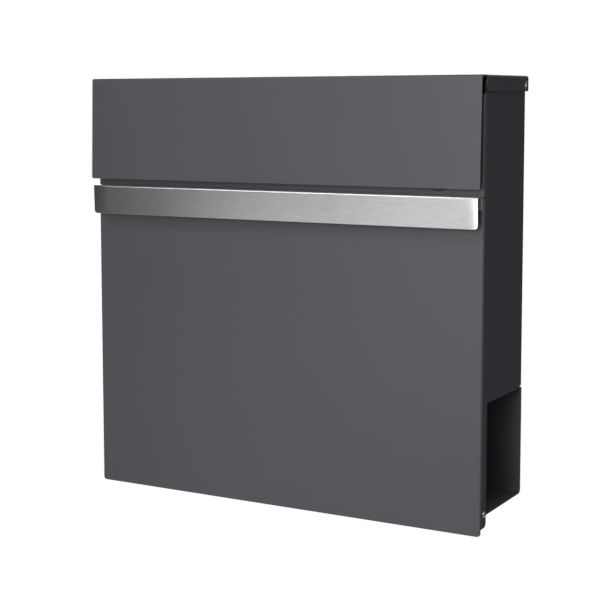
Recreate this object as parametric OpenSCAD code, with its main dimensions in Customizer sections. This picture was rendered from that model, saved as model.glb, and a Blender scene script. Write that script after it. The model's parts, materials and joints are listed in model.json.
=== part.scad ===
// Wall mounted mailbox in folded sheet steel: a letter compartment under a top lid, an open-ended
// newspaper compartment below it, and a front door with a steel handle strip that swings down.
//
// Frame: +Z up, +Y into the wall, +X to the right seen from the front. The origin is the centre of the
// four wall holes, in the plane of the wall. The modules measure heights from the door's lower edge,
// and hang() shifts them to the origin.

/* [Overall] */
// Width across the side tabs of the lid
overall_w = 370; // [305:1:460]
// Height from the lower edge of the door to the top of the lid
overall_h = 365; // [330:1:460]
// Depth from the wall to the face of the handle strip
overall_d = 110; // [95:1:160]

/* [Sheet metal] */
// Thickness of the case sheet
case_t = 1; // [0.8:0.1:1.5]
// Thickness of the sheet of the door and the front panel
front_t = 1; // [0.8:0.1:1.5]
// Thickness of the lid sheet
lid_t = 1; // [0.8:0.1:1.5]
// Thickness of the stainless sheet of the handle strip
strip_t = 1; // [0.8:0.1:1.5]
// Inside radius of the folds
fold_r = 1; // [0.6:0.1:2]

/* [Wall fixing] */
// Gap between the wall and the back plate, filled by the rubber spacers
standoff = 7; // [6.5:0.5:15]
// Distance between the left and right wall holes
holes_dx = 280; // [200:1:290]
// Distance between the upper and lower wall holes
holes_dz = 180; // [100:1:200]
// Drop from the top of the lid to the upper wall holes
holes_drop = 45; // [35:1:60]
// Diameter of the wall holes
wall_hole_d = 6.5; // [4.5:0.1:9]
// Diameter of the rubber spacers
spacer_d = 20; // [14:1:28]

/* [Newspaper compartment] */
// Clear height between the tray and the side panels
paper_h = 90; // [70:1:115]
// Height of the underside of the tray above the lower edge of the door
tray_z = 14.5; // [13:0.5:20]
// Inside radius of the fold between the tray and the back plate
tray_fold_r = 3; // [1:0.5:6]

/* [Letter compartment] */
// Height of the slits that free the rear folds of the side panels from the lower back plate
relief_h = 1.5; // [1:0.5:3]
// Width of the inward returns at the front edges of the side panels
return_w = 12; // [10:1:20]
// Height of the upright edges of the floor
floor_rim_h = 12; // [6:1:20]
// Rise of the floor above the lower edge of the side panels
floor_rise = 1.5; // [0:0.5:10]
// Front to back length of the letter slot under the lid
slot_l = 33; // [28:1:36]
// Depth of the downward rear edge of the throat guard, which is joined to the back plate
guard_rim_h = 10; // [5:1:20]
// Gap between the upright front edge of the throat guard and the closed lid
guard_play = 0.5; // [0.5:0.1:2]
// Drop of the throat guard below the upper return of the front panel
guard_drop = 1; // [0:0.5:5]

/* [Lid] */
// Height of the flap, from the top of the lid to its lower edge
flap_h = 88.4; // [70:0.1:110]
// Distance from the front panel to the face of the flap at the top
flap_proud = 7.8; // [6:0.1:9]
// Further distance that the flap leans out at its lower edge
flap_lean = 2.6; // [0:0.1:3]
// Height of the side tabs of the lid
tab_h = 12.7; // [12.5:0.1:16]
// Set-back of the tabs behind the front panel
tab_setback = 3.3; // [2:0.1:10]
// Radius of the lower corners of the flap
flap_r = 1.5; // [0.5:0.5:4]
// Corner radius of the tabs
tab_r = 5; // [1:0.5:6]
// Distance that the top plate stands out behind the back plate
lid_overhang = 2.8; // [0:0.1:3]
// Distance that the side tabs stand out behind the back plate
tab_overhang = 1.4; // [0:0.1:2]
// Play between the side tabs and the case
lid_play = 0.8; // [0.6:0.1:2]
// Gap between the top of the front panel and the top of the lid
lid_rise = 14.6; // [14:0.1:25]
// Gap between the top edges of the side panels and the underside of the lid
lid_gap = 3; // [1:0.5:4]
// Length of the rubber blocks that the lid closes on
lid_block_l = 12; // [6:1:20]
// Thickness of those blocks
lid_block_t = 4; // [3:0.5:4]

/* [Door and front panel] */
// Depth of the side flanges
flange_d = 11; // [10.5:0.5:20]
// Play between the flanges and the case
door_play = 0.4; // [0.3:0.1:1]
// Height of the lower end of the flanges above the lower edge of the door
flange_z = 6; // [3:0.5:8]
// Corner radius at the rear lower end of the flanges
flange_r = 4; // [1:0.5:5]
// Radius of the lower corners of the face
face_r = 4; // [0.5:0.5:4]
// Width of the seam between the door and the front panel
seam = 0.5; // [0.5:0.1:2]
// Depth of the stiffening return at the upper edge of the door
door_return_d = 6; // [4:0.5:7]
// Depth of the stiffening return at the upper edge of the front panel
panel_return_d = 12; // [6:0.5:14]
// Thickness of the rubber pads that the door closes on
pad_t = 1.3; // [1:0.1:2]
// Diameter of those pads
pad_d = 9; // [6:0.5:10]
// Distance of the lower pads above the lower edges of the side panels
pad_low = 20; // [6:1:60]
// Distance of the upper pads below the seam
pad_high = 16; // [6:1:60]
// Distance of the lower rivets of the front panel above the seam
panel_rivet_low = 18; // [10:1:25]
// Distance of the upper rivets of the front panel below its upper edge
panel_rivet_high = 16; // [10:1:25]

/* [Handle strip] */
// Distance from the door to the face of the strip
strip_proud = 11; // [9:0.1:16]
// Height of the strip
strip_h = 25.4; // [20:0.1:40]
// Distance that the strip leans back at its lower edge
strip_lean = 0.8; // [0:0.1:2]
// Gap between the lower edge of the flap and the top of the strip
strip_gap = 5.6; // [4:0.1:12]
// Distance of the upper edge of the door below the top of the strip
door_drop = 1.4; // [0:0.1:1.5]
// Distance between the end of the strip and the side of the door
strip_inset = 1.3; // [0.5:0.1:10]
// Height of the rear leg, which is riveted to the door
strip_leg_h = 11; // [9:0.5:14]
// Radius of the lower corners of the strip
strip_r = 3; // [1:0.5:6]
// Number of rivets in the rear leg
strip_rivets_n = 4; // [2:1:6]
// Distance of the outer rivets from the ends of the strip
strip_rivet_in = 33; // [15:1:60]

/* [Hinges and rivets] */
// Radius of the hinge pins
pin_r = 2; // [1.5:0.1:2.5]
// Radial clearance of the moving parts on the pins
pin_fit = 0.05; // [0.02:0.01:0.1]
// Radius of the pin heads
pin_head_r = 3; // [2.9:0.1:5]
// Height of the pin heads
pin_head_h = 1.3; // [1:0.1:2.5]
// Gap between the lid pins and the folds of the back plate
lid_pin_gap = 0.5; // [0.5:0.1:1]
// Distance of the lid pins below the top of the lid
lid_pin_drop = 8; // [7.5:0.1:8.5]
// Distance of the door pins behind the face of the door
door_pin_in = 6.4; // [6:0.1:6.5]
// Height of the door pins above the underside of the tray
door_pin_rise = 3.1; // [3.1:0.1:3.5]
// Metal around the door pins in the ears of the tray
ear_margin = 2; // [1.5:0.1:2]
// Height of the ears above the door pins
ear_rise = 7; // [4:0.5:12]
// Radius of the small blind rivets
rivet_r = 1.6; // [1.2:0.1:2]
// Radius of the heads of the small rivets
rivet_head_r = 3.2; // [2.5:0.1:4]
// Height of the heads of the small rivets
rivet_head_h = 1; // [0.6:0.1:1.5]

/* [Lock] */
// Distance of the lock from the middle of the box
lock_x = 146; // [60:1:150]
// Height of the lock above the seam
lock_rise = 14.5; // [12:0.5:20]
// Radius of the body of the lock
lock_r = 9; // [8:0.5:10]
// Radius of the flange of the lock
lock_flange_r = 10.5; // [10.5:0.5:12]
// Thickness of the flange of the lock
lock_flange_t = 2.5; // [1.5:0.5:4]
// Length of the body behind the front panel
lock_body_l = 14; // [12:0.5:18]
// Radius of the plug
plug_r = 6; // [5:0.5:6.5]
// Length of the cam, from the lock's axis to its tip
cam_l = 32; // [28:1:36]
// Thickness of the cam
cam_t = 2; // [1.5:0.5:3]
// Width of the arm of the cam
cam_w = 12; // [8:1:14]
// Height of the lock nut
nut_h = 4; // [3:0.5:6]
// Distance from the lock's body to the corners of the nut
nut_wall = 4; // [3:0.5:6]
// Width of the strike
strike_w = 25; // [20:1:40]
// Thickness of the strike
strike_t = 1.5; // [1:0.1:2]
// Height of the strike's leg on the door
strike_leg_h = 22; // [12:1:40]
// Height of the strike's upright behind the cam
strike_lip_h = 13; // [10:1:16]
// Height of the strike's upright that the cam overlaps when it is locked
strike_overlap = 8; // [4:1:10]
// Play between the cam and the strike
strike_play = 0.8; // [0.5:0.1:2]

/* [Hidden] */
$fn = 48;

anthracite = [0.20, 0.20, 0.215];
inside_grey = [0.17, 0.17, 0.18];
stainless = [0.75, 0.75, 0.74];
zinc = [0.62, 0.62, 0.63];
rubber = [0.08, 0.08, 0.08];
lacquer = [0.05, 0.05, 0.05];

// Small gap left between a part and the buffer or head that it runs against
run_gap = 0.3;
head_gap = 0.2;
// Overlap of cutting shapes past the surface they cut
eps = 1;

// Widths, and the half length of the stiffening returns, which end a gap short of the case's returns
case_w = overall_w - 2 * (lid_t + lid_play);
door_w = case_w + 2 * (door_play + front_t);
inner_w = case_w - 2 * case_t;
strip_w = door_w - 2 * strip_inset;
liner_w = inner_w - 2 * fold_r;
return_gap = 2;
return_half = inner_w / 2 - return_w - return_gap;

// Depths, on Y
back_y = -standoff;
back_in_y = back_y - case_t;
front_y = strip_proud - overall_d;
front_in_y = front_y + front_t;
return_y = front_in_y + run_gap + pad_t;
flange_y = front_y + flange_d;
lid_pin_y = back_in_y - fold_r - lid_pin_gap - pin_r;
door_pin_y = front_y + door_pin_in;
tab_y = front_y + tab_setback;
ear_half = pin_r + ear_margin;
tray_y = door_pin_y - ear_half;
guard_y = front_y + panel_return_d + slot_l;

// Heights above the lower edge of the door
side_z = tray_z + case_t + paper_h;
floor_z = side_z + floor_rise;
lid_in_z = overall_h - lid_t;
panel_top_z = overall_h - lid_rise;
side_top_z = lid_in_z - lid_gap;
guard_z = panel_top_z - front_t - guard_drop;
strip_top_z = overall_h - flap_h - strip_gap;
door_top_z = strip_top_z - door_drop;
panel_z = door_top_z + seam;
lid_pin_z = overall_h - lid_pin_drop;
door_pin_z = tray_z + door_pin_rise;
ear_top_z = door_pin_z + ear_rise;
lock_z = panel_z + lock_rise;
holes_z = overall_h - holes_drop - holes_dz / 2;

// Lock, along Y behind the front panel
plug_fit = 0.05;
housing_end_y = front_y + lock_body_l;
cam_y = housing_end_y + 2 * run_gap;
drive_w = 6;
cam_screw_r = 2;
cam_screw_l = 4;

// Strike, whose upright stands behind the cam
strike_y = cam_y + cam_t + strike_play;
strike_top_z = lock_z - cam_l + strike_overlap;
strike_z = strike_top_z - strike_lip_h;

// ---- Helpers ----

// Moves heights measured from the door's lower edge to the part's own origin
module hang() {
    translate([0, 0, -holes_z]) children();
}

module both_sides() {
    children();
    mirror([1, 0, 0]) children();
}

// A profile drawn in (Y, Z), w wide and centred on X
module along_x(w) {
    translate([-w / 2, 0, 0]) rotate([90, 0, 90]) linear_extrude(w) children();
}

// A profile drawn in (X, Z), from y0 to y1
module along_y(y0, y1) {
    translate([0, y1, 0]) rotate([90, 0, 0]) linear_extrude(y1 - y0) children();
}

// A profile drawn in (X, Y), from z0 to z1
module along_z(z0, z1) {
    translate([0, 0, z0]) linear_extrude(z1 - z0) children();
}

module block(x0, x1, y0, y1, z0, z1) {
    translate([x0, y0, z0]) cube([x1 - x0, y1 - y0, z1 - z0]);
}

module rod_x(x0, x1, y, z, r) {
    translate([x0, y, z]) rotate([0, 90, 0]) cylinder(h = x1 - x0, r = r);
}

module rod_y(x, y0, y1, z, r) {
    translate([x, y0, z]) rotate([-90, 0, 0]) cylinder(h = y1 - y0, r = r);
}

// Folded sheet seen on edge: path is its middle line, t its thickness, r the inside radius of the folds
function turn(a, b, c) = let (u = b - a, v = c - b) atan2(u[0] * v[1] - u[1] * v[0], u * v);
function setback(path, i, rm) =
    i == 0 || i == len(path) - 1 ? 0 : rm * tan(abs(turn(path[i - 1], path[i], path[i + 1])) / 2);

module stretch(a, b, t) {
    d = b - a;
    translate(a) rotate(atan2(d[1], d[0])) translate([0, -t / 2]) square([norm(d), t]);
}

module sector(centre, start, sweep, r, t) {
    reach = 2 * (r + t);
    translate(centre) rotate(start) intersection() {
        difference() {
            circle(r + t);
            circle(r);
        }
        polygon([for (a = [-1, 0, sweep / 2, sweep]) a < 0 ? [0, 0] : reach * [cos(a), sin(a)]]);
    }
}

module fold(path, t, r) {
    rm = r + t / 2;
    last = len(path) - 1;
    for (i = [0:last - 1]) {
        d = (path[i + 1] - path[i]) / norm(path[i + 1] - path[i]);
        stretch(path[i] + d * setback(path, i, rm), path[i + 1] - d * setback(path, i + 1, rm), t);
    }
    for (i = [1:last - 1]) {
        d = (path[i] - path[i - 1]) / norm(path[i] - path[i - 1]);
        a = turn(path[i - 1], path[i], path[i + 1]);
        inward = [-d[1], d[0]] * sign(a);
        centre = path[i] - d * setback(path, i, rm) + inward * rm;
        start = atan2(-inward[1], -inward[0]);
        sector(centre, min(start, start + a), abs(a), r, t);
    }
}

// The waste outside a rounded corner: the corner is at the origin, the sheet lies in +X +Y
module corner_waste(r) {
    difference() {
        translate([-eps, -eps]) square(r + eps);
        translate([r, r]) circle(r);
    }
}

// Domed head with its flat face at z = 0
module dome(r, h) {
    edge = h / 4;
    cap_r = (r * r + (h - edge) * (h - edge)) / (2 * (h - edge));
    rotate_extrude() intersection() {
        translate([0, h - cap_r]) circle(cap_r, $fn = 96);
        square([r, h]);
    }
}

// Blind rivet along +Y through sheets from y0 to y1, with a domed head in front and a smaller one behind
rivet_tail_r = 0.8 * rivet_head_r;

module rivet_y(x, y0, y1, z) {
    rod_y(x, y0, y1, z, rivet_r);
    translate([x, y0, z]) rotate([90, 0, 0]) dome(rivet_head_r, rivet_head_h);
    translate([x, y1, z]) rotate([-90, 0, 0]) dome(rivet_tail_r, rivet_head_h);
}

// Hinge pin on the right side: fixed in the case sheet, its outer head past x1
module hinge_pin(x1, y, z) {
    rod_x(inner_w / 2, x1, y, z, pin_r);
    translate([x1, y, z]) rotate([0, 90, 0]) dome(pin_head_r, pin_head_h);
}

module at_wall_holes() {
    for (x = [-1, 1], z = [-1, 1]) translate([x * holes_dx / 2, 0, holes_z + z * holes_dz / 2]) children();
}

function strip_rivet_x(i) = (i / (strip_rivets_n - 1) - 0.5) * (strip_w - 2 * strip_rivet_in);
strip_rivet_z = strip_top_z - strip_leg_h / 2 - fold_r / 2;

// Places of the rivets between the front panel and the returns of the case
panel_rivet_x = (inner_w - return_w) / 2;
panel_rivets_z = [panel_z + panel_rivet_low, panel_top_z - panel_rivet_high];

// ---- Case ----

// Plan of the back plate and sides, with returns at the front whose front face is at y
module case_plan(y) {
    x = (case_w - case_t) / 2;
    rear = back_y - case_t / 2;
    front = y + case_t / 2;
    tip = inner_w / 2 - return_w;
    fold([[tip, front], [x, front], [x, rear], [-x, rear], [-x, front], [-tip, front]], case_t, fold_r);
}

// The same plan without returns, ending at the front edge y
module collar_plan(y) {
    x = (case_w - case_t) / 2;
    rear = back_y - case_t / 2;
    fold([[x, y], [x, rear], [-x, rear], [-x, y]], case_t, fold_r);
}

module tray_profile() {
    fold([
        [tray_y, tray_z + case_t / 2],
        [back_y - case_t / 2, tray_z + case_t / 2],
        [back_y - case_t / 2, side_z]
    ], case_t, tray_fold_r);
}

module case_shell() {
    past_fold = 2;
    relief_l = case_t + fold_r + past_fold;
    color(anthracite) hang() difference() {
        union() {
            along_z(side_z, panel_z) case_plan(return_y);
            along_z(panel_z, panel_top_z - front_t) case_plan(front_in_y);
            along_z(panel_top_z - front_t, side_top_z) collar_plan(tab_y + lid_t);
            along_x(case_w) tray_profile();
            both_sides() block(inner_w / 2, case_w / 2, tray_y, tray_y + 2 * ear_half, tray_z, ear_top_z);
        }
        both_sides() block(case_w / 2 - relief_l, case_w, back_y - relief_l, back_y + eps,
            side_z, side_z + relief_h);
        at_wall_holes() rod_y(0, back_in_y - eps, eps, 0, wall_hole_d / 2);
        both_sides() {
            rod_x(inner_w / 2 - eps, case_w, lid_pin_y, lid_pin_z, pin_r);
            rod_x(inner_w / 2 - eps, case_w, door_pin_y, door_pin_z, pin_r);
            for (z = panel_rivets_z) rod_y(panel_rivet_x, front_y, return_y + eps, z, rivet_r);
        }
    }
}

module letter_floor() {
    front = return_y + case_t + case_t / 2;
    rear = back_in_y - case_t / 2;
    z = floor_z + case_t / 2;
    color(inside_grey) hang() along_x(liner_w)
        fold([[front, z + floor_rim_h], [front, z], [rear, z], [rear, z + floor_rim_h]], case_t, fold_r);
}

// Shelf from the back plate to the letter slot: its upright front edge keeps out hands, and rain that
// blows in over the back plate
module throat_guard() {
    rear = back_in_y - case_t / 2;
    z = guard_z - case_t / 2;
    top = lid_in_z - guard_play;
    color(inside_grey) hang() along_x(liner_w)
        fold([[rear, z - guard_rim_h], [rear, z], [guard_y, z], [guard_y, top]], case_t, fold_r);
}

module wall_spacers() {
    color(rubber) hang() at_wall_holes() difference() {
        rod_y(0, back_y, 0, 0, spacer_d / 2);
        rod_y(0, back_y - eps, eps, 0, wall_hole_d / 2);
    }
}

// ---- Front panel and door ----

// Plan of a face with its two side flanges
module front_plan() {
    x = (door_w - front_t) / 2;
    y = front_y + front_t / 2;
    fold([[x, flange_y], [x, y], [-x, y], [-x, flange_y]], front_t, fold_r);
}

module front_panel() {
    color(anthracite) hang() difference() {
        union() {
            along_z(panel_z, panel_top_z) front_plan();
            block(-inner_w / 2, inner_w / 2, front_y + front_t / 2, front_y + panel_return_d,
                panel_top_z - front_t, panel_top_z);
            block(-return_half, return_half, front_y + front_t / 2, front_y + door_return_d,
                panel_z, panel_z + front_t);
        }
        rod_y(lock_x, front_y - eps, front_in_y + eps, lock_z, lock_r);
        both_sides() for (z = panel_rivets_z)
            rod_y(panel_rivet_x, front_y - eps, front_in_y + eps, z, rivet_r);
    }
}

module front_panel_rivets() {
    color(zinc) hang() both_sides() for (z = panel_rivets_z)
        rivet_y(panel_rivet_x, front_y, front_in_y + case_t, z);
}

module door_panel() {
    color(anthracite) hang() difference() {
        union() {
            along_z(0, door_top_z) front_plan();
            block(-return_half, return_half, front_y + front_t / 2, front_y + door_return_d,
                door_top_z - front_t, door_top_z);
        }
        both_sides() {
            block(door_w / 2 - front_t - fold_r, door_w, front_in_y, flange_y + eps, -eps, flange_z);
            along_x(2 * door_w) translate([flange_y, flange_z]) mirror([1, 0]) corner_waste(flange_r);
            along_y(front_y - eps, front_in_y + eps) translate([-door_w / 2, 0]) corner_waste(face_r);
            rod_x(inner_w / 2, door_w, door_pin_y, door_pin_z, pin_r + pin_fit);
        }
        for (i = [0:strip_rivets_n - 1])
            rod_y(strip_rivet_x(i), front_y - eps, front_in_y + eps, strip_rivet_z, rivet_r);
    }
}

module door_hinge_rivets() {
    color(zinc) hang() both_sides() hinge_pin(door_w / 2 + head_gap, door_pin_y, door_pin_z);
}

module door_buffers() {
    x = (inner_w - return_w) / 2;
    color(rubber) hang() both_sides() for (z = [side_z + pad_low, panel_z - pad_high])
        rod_y(x, return_y - pad_t, return_y, z, pad_d / 2);
}

// Bracket inside the door whose upright the cam catches
module door_strike() {
    y0 = front_in_y + strike_t / 2;
    y1 = strike_y + strike_t / 2;
    color(zinc) hang() translate([lock_x, 0, 0]) along_x(strike_w)
        fold([[y0, strike_z - strike_leg_h], [y0, strike_z], [y1, strike_z], [y1, strike_top_z]],
            strike_t, fold_r);
}

// ---- Handle strip ----

module handle_strip() {
    face_top = [strip_t / 2 - overall_d, strip_top_z - strip_t / 2];
    face_foot = [face_top[0] + strip_lean, strip_top_z - strip_h];
    leg_y = front_y - strip_t / 2;
    color(stainless) hang() difference() {
        along_x(strip_w)
            fold([face_foot, face_top, [leg_y, face_top[1]], [leg_y, strip_top_z - strip_leg_h]],
                strip_t, fold_r);
        both_sides() along_y(-overall_d - eps, front_y - strip_t - eps)
            translate([-strip_w / 2, strip_top_z - strip_h]) corner_waste(strip_r);
        for (i = [0:strip_rivets_n - 1])
            rod_y(strip_rivet_x(i), front_y - strip_t - eps, front_y + eps, strip_rivet_z, rivet_r);
    }
}

module strip_rivets() {
    color(zinc) hang() for (i = [0:strip_rivets_n - 1])
        rivet_y(strip_rivet_x(i), front_y - strip_t, front_in_y, strip_rivet_z);
}

// ---- Lid ----

module lid_shell() {
    top = overall_h - lid_t / 2;
    flap_top_y = front_y - flap_proud + lid_t / 2;
    tab_x = (overall_w - lid_t) / 2;
    tab_foot_z = overall_h - tab_h;
    lid_flat = overall_w / 2 - lid_t - fold_r;
    color(anthracite) hang() difference() {
        union() {
            along_x(overall_w) fold([
                [flap_top_y - flap_lean, overall_h - flap_h],
                [flap_top_y, top],
                [tab_y, top]
            ], lid_t, fold_r);
            along_y(tab_y, back_y + tab_overhang) fold([
                [-tab_x, tab_foot_z],
                [-tab_x, top],
                [tab_x, top],
                [tab_x, tab_foot_z]
            ], lid_t, fold_r);
            block(-lid_flat, lid_flat, tab_y - eps, back_y + lid_overhang, lid_in_z, overall_h);
        }
        both_sides() {
            rod_x(inner_w / 2, overall_w, lid_pin_y, lid_pin_z, pin_r + pin_fit);
            along_y(-overall_d, flap_top_y + lid_t)
                translate([-overall_w / 2, overall_h - flap_h]) corner_waste(flap_r);
        }
        along_x(2 * overall_w) translate([tab_y, tab_foot_z]) corner_waste(tab_r);
    }
}

module lid_hinge_rivets() {
    inner_head_r = pin_r + lid_pin_gap;
    inner_head_h = 1;
    color(zinc) hang() both_sides() {
        hinge_pin(overall_w / 2 + head_gap, lid_pin_y, lid_pin_z);
        translate([inner_w / 2, lid_pin_y, lid_pin_z]) rotate([0, -90, 0]) dome(inner_head_r, inner_head_h);
    }
}

module lid_washers() {
    color(zinc) hang() both_sides() difference() {
        rod_x(case_w / 2, case_w / 2 + lid_play - head_gap, lid_pin_y, lid_pin_z, 2 * pin_r);
        rod_x(inner_w / 2, overall_w, lid_pin_y, lid_pin_z, pin_r);
    }
}

// Rubber blocks on the side panels that the lid's top plate closes on
module lid_buffers() {
    x = inner_w / 2;
    behind_return = 2;
    y = front_y + panel_return_d + behind_return;
    color(rubber) hang() both_sides()
        block(x - lid_block_t, x, y, y + lid_block_l, guard_z, lid_in_z - run_gap);
}

// ---- Lock ----

module at_lock() {
    hang() translate([lock_x, 0, lock_z]) children();
}

module lock_housing() {
    color(lacquer) at_lock() difference() {
        union() {
            rod_y(0, front_y - lock_flange_t, front_y, 0, lock_flange_r);
            rod_y(0, front_y, housing_end_y, 0, lock_r);
        }
        rod_y(0, front_y - lock_flange_t - eps, housing_end_y + eps, 0, plug_r + plug_fit);
    }
}

module lock_nut() {
    color(zinc) at_lock() difference() {
        translate([0, front_in_y, 0]) rotate([-90, 0, 0])
            cylinder(h = nut_h, r = lock_r + nut_wall, $fn = 6);
        rod_y(0, front_in_y - eps, front_in_y + nut_h + eps, 0, lock_r);
    }
}

module lock_plug() {
    key_w = 1.6;
    key_h = 7;
    key_l = 9;
    proud = 0.5;
    face_y = front_y - lock_flange_t - proud;
    color(stainless) at_lock() difference() {
        union() {
            rod_y(0, face_y, cam_y, 0, plug_r);
            block(-drive_w / 2, drive_w / 2, cam_y - eps, cam_y + cam_t, -drive_w / 2, drive_w / 2);
        }
        block(-key_w / 2, key_w / 2, face_y - eps, face_y + key_l, -key_h / 2, key_h / 2);
        rod_y(0, cam_y - cam_screw_l, cam_y + cam_t + eps, 0, cam_screw_r);
    }
}

// The cam points to the middle of the box when the door is free, and down when it is locked
module lock_cam() {
    boss_wall = 1.5;
    boss_r = plug_r + boss_wall;
    color(zinc) at_lock() along_y(cam_y, cam_y + cam_t) difference() {
        union() {
            circle(boss_r);
            translate([cam_w / 2 - cam_l, -cam_w / 2]) square([cam_l - cam_w / 2, cam_w]);
            translate([cam_w / 2 - cam_l, 0]) circle(cam_w / 2);
        }
        square(drive_w, center = true);
    }
}

module cam_screw() {
    head_r = 4.5;
    head_h = 2.6;
    color(zinc) at_lock() {
        rod_y(0, cam_y - cam_screw_l, cam_y + cam_t, 0, cam_screw_r);
        translate([0, cam_y + cam_t, 0]) rotate([-90, 0, 0]) dome(head_r, head_h);
    }
}

case_shell();
letter_floor();
throat_guard();
front_panel();
front_panel_rivets();
wall_spacers();
lid_shell();
lid_hinge_rivets();
lid_washers();
lid_buffers();
door_panel();
door_hinge_rivets();
door_buffers();
door_strike();
handle_strip();
strip_rivets();
lock_housing();
lock_nut();
lock_plug();
lock_cam();
cam_screw();
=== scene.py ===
"""Looks of the wall mounted mailbox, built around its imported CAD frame. Lengths are in metres."""

import json
import math

import bmesh
import bpy
from mathutils import Matrix, Vector
from mathutils.bvhtree import BVHTree

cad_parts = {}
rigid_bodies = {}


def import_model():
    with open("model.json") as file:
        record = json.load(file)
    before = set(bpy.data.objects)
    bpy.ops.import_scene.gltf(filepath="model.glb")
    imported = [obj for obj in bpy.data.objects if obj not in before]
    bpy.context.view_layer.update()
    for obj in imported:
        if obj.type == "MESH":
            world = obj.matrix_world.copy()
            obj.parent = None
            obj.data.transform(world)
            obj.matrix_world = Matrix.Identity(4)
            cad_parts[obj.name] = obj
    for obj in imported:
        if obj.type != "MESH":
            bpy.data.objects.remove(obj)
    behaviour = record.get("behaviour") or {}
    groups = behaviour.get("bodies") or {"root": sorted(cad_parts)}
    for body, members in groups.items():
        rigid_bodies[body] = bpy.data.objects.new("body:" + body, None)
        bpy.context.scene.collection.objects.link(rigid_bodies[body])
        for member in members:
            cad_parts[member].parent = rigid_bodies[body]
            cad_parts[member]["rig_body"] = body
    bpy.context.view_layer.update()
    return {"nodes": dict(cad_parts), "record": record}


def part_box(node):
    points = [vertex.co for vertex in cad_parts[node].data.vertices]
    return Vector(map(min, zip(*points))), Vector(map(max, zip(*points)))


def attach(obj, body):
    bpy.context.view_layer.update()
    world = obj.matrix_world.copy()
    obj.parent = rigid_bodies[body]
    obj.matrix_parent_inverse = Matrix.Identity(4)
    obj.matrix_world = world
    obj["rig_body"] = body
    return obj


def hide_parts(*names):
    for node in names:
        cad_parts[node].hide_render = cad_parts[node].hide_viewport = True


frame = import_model()
nodes = frame["nodes"]
scene = bpy.context.scene
scene.view_settings.view_transform = "Standard"

# ---- Camera ----

# How far the camera looks to the left of straight back, how far down, and how far it is rolled
AZIMUTH = math.radians(30.4)
PITCH = math.radians(5.62)
ROLL = math.radians(-0.205)
CAMERA_PLACE = Vector((0.6117, -1.171, 0.1177))
# Sensor and lens in millimetres
SENSOR_WIDTH = 36
LENS = 88.52
SHIFT_X = 0.067
SHIFT_Y = -0.095


def make_camera():
    """The camera stands to the right of the front, about level with the lid, and looks slightly down."""
    forward = Vector((-math.sin(AZIMUTH) * math.cos(PITCH), math.cos(AZIMUTH) * math.cos(PITCH),
                      -math.sin(PITCH)))
    level = Vector((math.cos(AZIMUTH), math.sin(AZIMUTH), 0))
    upright = level.cross(forward)
    right = math.cos(ROLL) * level + math.sin(ROLL) * upright
    up = math.cos(ROLL) * upright - math.sin(ROLL) * level
    turned = Matrix((right, up, -forward)).transposed().to_4x4()
    data = bpy.data.cameras.new("camera")
    data.sensor_width = SENSOR_WIDTH
    data.lens = LENS
    data.shift_x = SHIFT_X
    data.shift_y = SHIFT_Y
    camera = bpy.data.objects.new("camera", data)
    camera.matrix_world = Matrix.Translation(CAMERA_PLACE) @ turned
    scene.collection.objects.link(camera)
    scene.camera = camera


make_camera()

# ---- Material helpers ----


def new_material(name, colour, roughness, metallic=0.0):
    """A Principled material with its constant values on the shader itself."""
    material = bpy.data.materials.new(name)
    material.use_nodes = True
    shader = material.node_tree.nodes["Principled BSDF"]
    shader.inputs["Base Color"].default_value = (*colour, 1)
    shader.inputs["Roughness"].default_value = roughness
    shader.inputs["Metallic"].default_value = metallic
    return material, shader


def add_node(material, kind, **inputs):
    """A shader node with some of its inputs set."""
    node = material.node_tree.nodes.new(kind)
    for name, value in inputs.items():
        node.inputs[name.replace("_", " ")].default_value = value
    return node


def link(material, source, target):
    """Joins an output to an input."""
    material.node_tree.links.new(source, target)


def noise(material, scale, detail=2.0, stretch=(1, 1, 1)):
    """Noise in the part's own coordinates: scale counts its features in a metre, before the stretch."""
    place = add_node(material, "ShaderNodeTexCoord")
    mapping = add_node(material, "ShaderNodeMapping", Scale=stretch)
    texture = add_node(material, "ShaderNodeTexNoise", Scale=scale, Detail=detail)
    link(material, place.outputs["Object"], mapping.inputs["Vector"])
    link(material, mapping.outputs["Vector"], texture.inputs["Vector"])
    return texture.outputs["Fac"]


def spread(material, factor, low, high, middle=0.5, width=0.25):
    """Maps a factor from width below its middle to width above it, to values from low to high."""
    node = add_node(material, "ShaderNodeMapRange", From_Min=middle - width, From_Max=middle + width,
                    To_Min=low, To_Max=high)
    link(material, factor, node.inputs["Value"])
    return node.outputs["Result"]


def combine(material, operation, first, second):
    """A maths node on two factors."""
    node = add_node(material, "ShaderNodeMath")
    node.operation = operation
    link(material, first, node.inputs[0])
    link(material, second, node.inputs[1])
    return node.outputs["Value"]


def colour_mix(material, factor):
    """A mix of two colours by a factor: its two colour inputs and its output."""
    node = add_node(material, "ShaderNodeMix")
    node.data_type = "RGBA"
    first, second = [socket for socket in node.inputs if socket.type == "RGBA"]
    mixed = [socket for socket in node.outputs if socket.type == "RGBA"][0]
    link(material, factor, node.inputs[0])
    return first, second, mixed


def tint(material, factor, colour, step):
    """A colour that varies with a factor, from a step darker to a step lighter."""
    dark, light, mixed = colour_mix(material, factor)
    dark.default_value = (*[c * (1 - step) for c in colour], 1)
    light.default_value = (*[c * (1 + step) for c in colour], 1)
    return mixed


def bump(material, shader, height, depth, below=None):
    """Relief whose full height is depth metres, on top of another one."""
    node = add_node(material, "ShaderNodeBump", Strength=1.0, Distance=depth)
    link(material, height, node.inputs["Height"])
    if below is not None:
        link(material, below, node.inputs["Normal"])
    link(material, node.outputs["Normal"], shader.inputs["Normal"])
    return node.outputs["Normal"]


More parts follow.
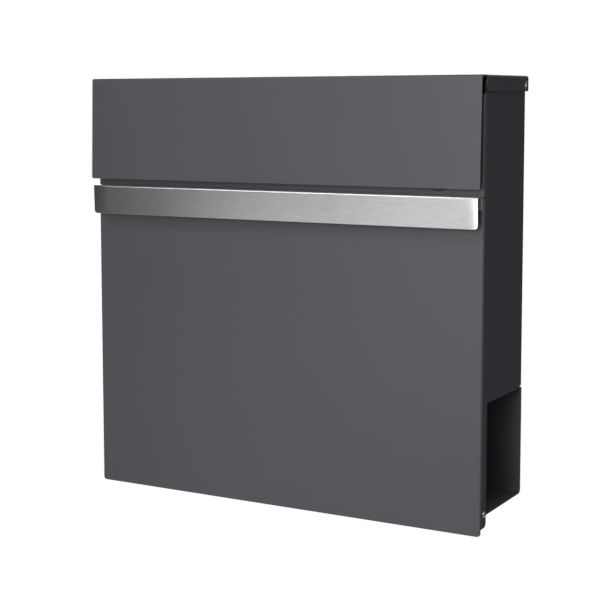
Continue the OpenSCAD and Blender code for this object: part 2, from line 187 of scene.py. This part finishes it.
def behind(material, y):
    """A factor that is 1 on surfaces further back than y, and 0 in front of it."""
    soft = 0.0003
    place = add_node(material, "ShaderNodeTexCoord")
    parts = add_node(material, "ShaderNodeSeparateXYZ")
    link(material, place.outputs["Object"], parts.inputs["Vector"])
    return spread(material, parts.outputs["Y"], 0, 1, middle=y, width=soft)


# ---- Materials ----

# Colour and metallic value of the rear leg of the handle strip: the dull rolled sheet, made darker and less
# metallic as painted shade in the channel behind the strip's face
DULL_SHADED_STEEL = (0.26, 0.26, 0.26)
DULL_SHADED_METALLIC = 0.3
# Depth of the rear leg of the handle strip, with the fold that leads to it, which gets the painted shade
LEG_DEEP = 0.0014


def powder_coat(name, colour, roughness):
    """Matte powder coat: soft cloudiness, a fine speckle and a low orange peel."""
    cloud_share = 0.35
    mixed_middle = 0.67
    colour_step = 0.05
    roughness_step = 0.02
    peel_depth = 0.000012
    speckle_depth = 0.000004
    material, shader = new_material(name, colour, roughness)
    cloud = noise(material, 14, 3)
    speckle = noise(material, 1800, 1)
    peel = noise(material, 420, 2)
    mixed = add_node(material, "ShaderNodeMath")
    mixed.operation = "MULTIPLY_ADD"
    mixed.inputs[1].default_value = cloud_share
    link(material, cloud, mixed.inputs[0])
    link(material, speckle, mixed.inputs[2])
    shade = spread(material, mixed.outputs["Value"], 0, 1, middle=mixed_middle)
    sheen = spread(material, cloud, roughness - roughness_step, roughness + roughness_step)
    link(material, tint(material, shade, colour, colour_step), shader.inputs["Base Color"])
    link(material, sheen, shader.inputs["Roughness"])
    first = bump(material, shader, peel, peel_depth)
    bump(material, shader, speckle, speckle_depth, first)
    return material


def brushed_steel(name, colour, roughness, dull_shaded_y):
    """Stainless sheet ground along X: fine lines that spread a reflection across them.

    The rear leg, further back than the y it is given, is the dull grey of the rolled sheet, made darker and
    less metallic as painted shade behind the strip's face.
    """
    anisotropy = 0.75
    colour_step = 0.08
    roughness_step = 0.04
    line_depth = 0.0000015
    hairline_depth = 0.000001
    material, shader = new_material(name, colour, roughness, metallic=1)
    shader.inputs["Anisotropic"].default_value = anisotropy
    tangent = add_node(material, "ShaderNodeTangent")
    tangent.direction_type = "RADIAL"
    tangent.axis = "X"
    link(material, tangent.outputs["Tangent"], shader.inputs["Tangent"])
    lines = noise(material, 1100, 3, stretch=(0.09, 1, 1))
    hairlines = noise(material, 3600, 2, stretch=(0.02, 1, 1))
    ground = tint(material, spread(material, lines, 0, 1), colour, colour_step)
    # Painted shade: surfaces behind the strip's face get the darker, less metallic grey
    rear = behind(material, dull_shaded_y)
    front_colour, rear_colour, mixed = colour_mix(material, rear)
    link(material, ground, front_colour)
    rear_colour.default_value = (*DULL_SHADED_STEEL, 1)
    metallic = spread(material, rear, 1, DULL_SHADED_METALLIC, middle=0.5, width=0.5)
    sheen = spread(material, hairlines, roughness - roughness_step, roughness + roughness_step)
    link(material, mixed, shader.inputs["Base Color"])
    link(material, metallic, shader.inputs["Metallic"])
    link(material, sheen, shader.inputs["Roughness"])
    first = bump(material, shader, lines, line_depth)
    bump(material, shader, hairlines, hairline_depth, first)
    return material


def plated_metal(name, colour, roughness, grain):
    """Bright metal with small marks from pressing and turning."""
    colour_step = 0.08
    roughness_step = 0.06
    mark_depth = 0.000004
    material, shader = new_material(name, colour, roughness, metallic=1)
    marks = noise(material, grain, 3)
    sheen = spread(material, marks, roughness - roughness_step, roughness + roughness_step)
    link(material, tint(material, spread(material, marks, 0, 1), colour, colour_step),
         shader.inputs["Base Color"])
    link(material, sheen, shader.inputs["Roughness"])
    bump(material, shader, marks, mark_depth)
    return material


def rubber(name, colour, roughness):
    """Moulded rubber with a fine grain."""
    colour_step = 0.15
    grain_depth = 0.00002
    material, shader = new_material(name, colour, roughness)
    grain = noise(material, 1500, 2)
    link(material, tint(material, spread(material, grain, 0, 1), colour, colour_step),
         shader.inputs["Base Color"])
    bump(material, shader, grain, grain_depth)
    return material


LOOKS = {
    "anthracite_coat": powder_coat("anthracite_coat", (0.0665, 0.0645, 0.0775), 0.48),
    # inner_coat is the anthracite coat made darker and rougher for the pieces inside the box; its darker
    # colour is painted shade in the compartment
    "inner_coat": powder_coat("inner_coat", (0.058, 0.056, 0.065), 0.55),
    "brushed_strip": brushed_steel("brushed_strip", (0.62, 0.62, 0.62), 0.31,
                                   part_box("handle_strip")[1].y - LEG_DEEP),
    "rivet_metal": plated_metal("rivet_metal", (0.60, 0.60, 0.60), 0.28, 900),
    "lock_metal": powder_coat("lock_metal", (0.012, 0.012, 0.012), 0.35),
    "plug_metal": plated_metal("plug_metal", (0.66, 0.65, 0.62), 0.22, 600),
    "zinc_steel": plated_metal("zinc_steel", (0.55, 0.56, 0.57), 0.38, 350),
    "black_rubber": rubber("black_rubber", (0.018, 0.018, 0.018), 0.7),
}

# ---- Pieces ----

# Radius that breaks the edges of the pieces in each material, and the steps that round it
EDGES = {
    "anthracite_coat": 0.0004,
    "inner_coat": 0.0003,
    "brushed_strip": 0.00045,
    "rivet_metal": 0.0001,
    "lock_metal": 0.0004,
    "plug_metal": 0.0002,
    "zinc_steel": 0.00015,
    "black_rubber": 0.0003,
}
EDGE_STEPS = 3
# Curl of the ends of the handle strip: its length, how far the very end moves back, the steps that
# round it, how fast it grows towards the end, and how far behind the face it still acts
CURL_LENGTH = 0.016
CURL_BACK = 0.0009
CURL_STEPS = 10
CURL_POWER = 2
CURL_DEEP = 0.003
# Points nearer than this are one point
WELD = 1e-6
# Faces that meet at less than FLAT are one face, and edges that meet at more than SHARP are rounded
FLAT = math.radians(0.3)
SHARP = math.radians(30)
SLOTS = {part["node"]: part["material_slot"] for part in frame["record"]["subparts"]}


def curl_ends(mesh, node):
    """Bends the last stretch of the handle strip's face back a little at both ends."""
    low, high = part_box(node)
    for side in (-1, 1):
        for step in range(1, CURL_STEPS + 1):
            x = side * (high.x - CURL_LENGTH * step / CURL_STEPS)
            bmesh.ops.bisect_plane(mesh, geom=mesh.verts[:] + mesh.edges[:] + mesh.faces[:], dist=WELD,
                                   plane_co=(x, 0, 0), plane_no=(1, 0, 0))
    for vertex in mesh.verts:
        past = (abs(vertex.co.x) - (high.x - CURL_LENGTH)) / CURL_LENGTH
        if past > 0 and vertex.co.y < low.y + CURL_DEEP:
            vertex.co.y += CURL_BACK * past ** CURL_POWER


def softened(source, edge, shape=None):
    """A copy of a mesh with its sharp edges rounded, shaded smooth. shape changes the mesh first.

    Where a rounding runs off its edge, its points are put back on the surface.
    """
    mesh = bmesh.new()
    mesh.from_mesh(source)
    bmesh.ops.remove_doubles(mesh, verts=mesh.verts, dist=WELD)
    bmesh.ops.dissolve_limit(mesh, angle_limit=FLAT, verts=mesh.verts, edges=mesh.edges)
    if shape:
        shape(mesh)
    surface = BVHTree.FromBMesh(mesh)
    sharp = [e for e in mesh.edges if e.is_manifold and e.calc_face_angle() > SHARP]
    bmesh.ops.bevel(mesh, geom=sharp, offset=edge, segments=EDGE_STEPS, profile=0.5, affect="EDGES",
                    clamp_overlap=False)
    for vertex in mesh.verts:
        place, _, _, stray = surface.find_nearest(vertex.co)
        if stray > edge / 2:
            vertex.co = place
    for face in mesh.faces:
        face.smooth = True
    clean = bpy.data.meshes.new(source.name + "_finished")
    mesh.to_mesh(clean)
    mesh.free()
    return clean


def finish_node(name):
    """A copy of a CAD node with soft edges, which stands for the node and rides on its body."""
    source = nodes[name]
    slot = SLOTS[name]
    shape = (lambda mesh: curl_ends(mesh, name)) if name == "handle_strip" else None
    clean = softened(source.data, EDGES[slot], shape)
    clean.materials.append(LOOKS[slot])
    piece = bpy.data.objects.new(name + "_finished", clean)
    scene.collection.objects.link(piece)
    weighted = piece.modifiers.new("normals", "WEIGHTED_NORMAL")
    weighted.keep_sharp = True
    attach(piece, source["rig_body"])
    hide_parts(name)


for node_name in sorted(nodes):
    finish_node(node_name)

# ---- Studio ----

# The point that the softboxes face
LIT_POINT = Vector((0, -0.06, -0.05))

# Softboxes around the lit point: azimuth (0 is in front, 90 to the right), elevation, distance, width,
# height and radiance
SOFTBOXES = {
    "front_box": (4, 8, 2.0, 0.7, 1.4, 3.2),
    "inner_left_box": (-15, 8, 2.0, 0.45, 1.4, 1.04),
    "outer_left_box": (-28, 8, 2.0, 0.45, 1.4, 0.22),
    "far_left_box": (-50, 8, 2.0, 1.0, 1.4, 0.02),
    "high_left_box": (-34, 42, 2.0, 0.8, 0.6, 4.9),
    "right_box": (42, 8, 2.0, 1.5, 1.4, 0.28),
    "upper_box": (2, 50, 2.0, 1.6, 0.7, 1.62),
    "low_box": (12, -28, 2.0, 1.0, 0.5, 0.64),
    "side_box": (98, 10, 2.0, 1.2, 1.4, 0.74),
    "top_box": (0, 88, 2.0, 1.0, 1.0, 0.4),
    "back_box": (170, 45, 2.0, 1.6, 1.2, 1.2),
    "rear_left_box": (215, 20, 2.0, 1.6, 1.4, 4.0),
    "near_box": (22, 30, 1.0, 0.5, 0.6, 0.86),
    "near_front_box": (15, 12, 1.0, 0.4, 0.4, 4.95),
    "near_right_box": (52, 30, 1.0, 0.4, 0.5, 0.27),
    "near_low_box": (-25, -20, 1.0, 0.4, 0.4, 1.31),
}
# Strength of the even light from all round
AMBIENT = 0.04

# The floor: its radius, its height below the origin, its corners, its colour and its roughness
FLOOR_RADIUS = 2.2
FLOOR_DROP = 1.2
FLOOR_CORNERS = 96
FLOOR_COLOUR = (0.8, 0.8, 0.8)
FLOOR_ROUGHNESS = 0.8
# Glow that the camera sees on the floor, under the part and at the rim
FLOOR_GLOW = 0.1
RIM_GLOW = 0.5
WHITE = (1, 1, 1, 1)


def softbox(name, azimuth, elevation, distance, width, height, radiance):
    """A large soft light that faces the lit point."""
    data = bpy.data.lights.new(name, "AREA")
    data.shape = "RECTANGLE"
    data.size = width
    data.size_y = height
    data.energy = math.pi * width * height * radiance
    lamp = bpy.data.objects.new(name, data)
    scene.collection.objects.link(lamp)
    lamp.visible_camera = False
    a, e = math.radians(azimuth), math.radians(elevation)
    away = Vector((math.sin(a) * math.cos(e), -math.cos(a) * math.cos(e), math.sin(e)))
    lamp.location = LIT_POINT + distance * away
    lamp.rotation_euler = (-away).to_track_quat("-Z", "Y").to_euler()


def floor_material():
    """Pale grey with a glow that shows only to the camera, so that it doesn't light the part from below."""
    material, shader = new_material("floor", FLOOR_COLOUR, FLOOR_ROUGHNESS)
    place = add_node(material, "ShaderNodeTexCoord")
    path = add_node(material, "ShaderNodeLightPath")
    reach = add_node(material, "ShaderNodeVectorMath")
    reach.operation = "LENGTH"
    link(material, place.outputs["Object"], reach.inputs["Vector"])
    glow = spread(material, reach.outputs["Value"], FLOOR_GLOW, RIM_GLOW, middle=FLOOR_RADIUS / 2,
                  width=FLOOR_RADIUS / 2)
    seen = combine(material, "MULTIPLY", glow, path.outputs["Is Camera Ray"])
    link(material, seen, shader.inputs["Emission Strength"])
    shader.inputs["Emission Color"].default_value = WHITE
    return material


def make_floor():
    """A plain pale floor well under the part, as under a box on a wall. It gets lighter towards its rim."""
    mesh = bmesh.new()
    bmesh.ops.create_circle(mesh, cap_ends=True, segments=FLOOR_CORNERS, radius=FLOOR_RADIUS)
    data = bpy.data.meshes.new("floor")
    mesh.to_mesh(data)
    mesh.free()
    data.materials.append(floor_material())
    floor = bpy.data.objects.new("floor", data)
    floor.location = (0, LIT_POINT.y, -FLOOR_DROP)
    scene.collection.objects.link(floor)


def make_world():
    """White behind the part for the camera, and a dim even light from all round."""
    world = bpy.data.worlds.new("studio")
    world.use_nodes = True
    tree = world.node_tree
    seen = tree.nodes["Background"]
    seen.inputs["Color"].default_value = WHITE
    lighting = tree.nodes.new("ShaderNodeBackground")
    lighting.inputs["Color"].default_value = WHITE
    lighting.inputs["Strength"].default_value = AMBIENT
    path = tree.nodes.new("ShaderNodeLightPath")
    mix = tree.nodes.new("ShaderNodeMixShader")
    tree.links.new(path.outputs["Is Camera Ray"], mix.inputs["Fac"])
    tree.links.new(lighting.outputs["Background"], mix.inputs[1])
    tree.links.new(seen.outputs["Background"], mix.inputs[2])
    tree.links.new(mix.outputs["Shader"], tree.nodes["World Output"].inputs["Surface"])
    scene.world = world


for box_name, box_facts in SOFTBOXES.items():
    softbox(box_name, *box_facts)
make_floor()
make_world()
